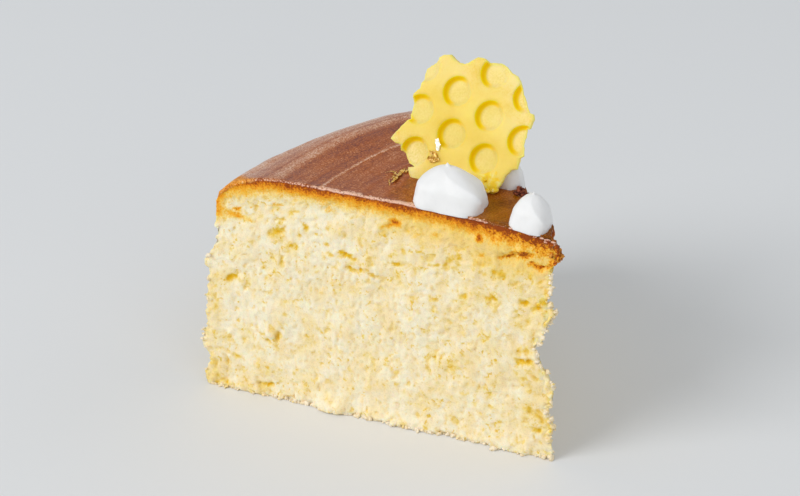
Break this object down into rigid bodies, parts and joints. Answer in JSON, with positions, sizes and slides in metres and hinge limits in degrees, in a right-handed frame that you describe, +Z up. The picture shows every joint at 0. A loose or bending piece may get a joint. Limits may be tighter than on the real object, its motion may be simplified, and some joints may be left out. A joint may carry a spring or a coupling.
{
  "type": "slice of jiggly cheesecake",
  "caption": "Wedge of tall souffle cheesecake with a glazed brown top, a leaning honeycomb disc of yellow chocolate and small meringue kisses.",
  "frame": {"origin": "middle of the bounding box in plan, on the plane the slice rests on", "axes": "+Z up; -Y towards the tip of the slice, +Y towards its baked side; the X = 0 plane halves the wedge"},
  "size_m": [0.0891, 0.0999, 0.0932],
  "materials": {
    "sponge": "soft open crumb, pale yellow, matte",
    "glaze": "browned top under a thin clear glaze, glossy",
    "yellow_chocolate": "tempered chocolate, satin, slightly see-through",
    "meringue": "dried meringue, fine matte",
    "gold_leaf": "crumpled gold leaf, bright"
  },
  "bodies": {
    "root": {"cake_slice": "sponge", "honeycomb_disc": "yellow_chocolate", "meringue_large": "meringue", "meringue_tip": "meringue", "meringue_back": "meringue"}
  },
  "joints": []
}
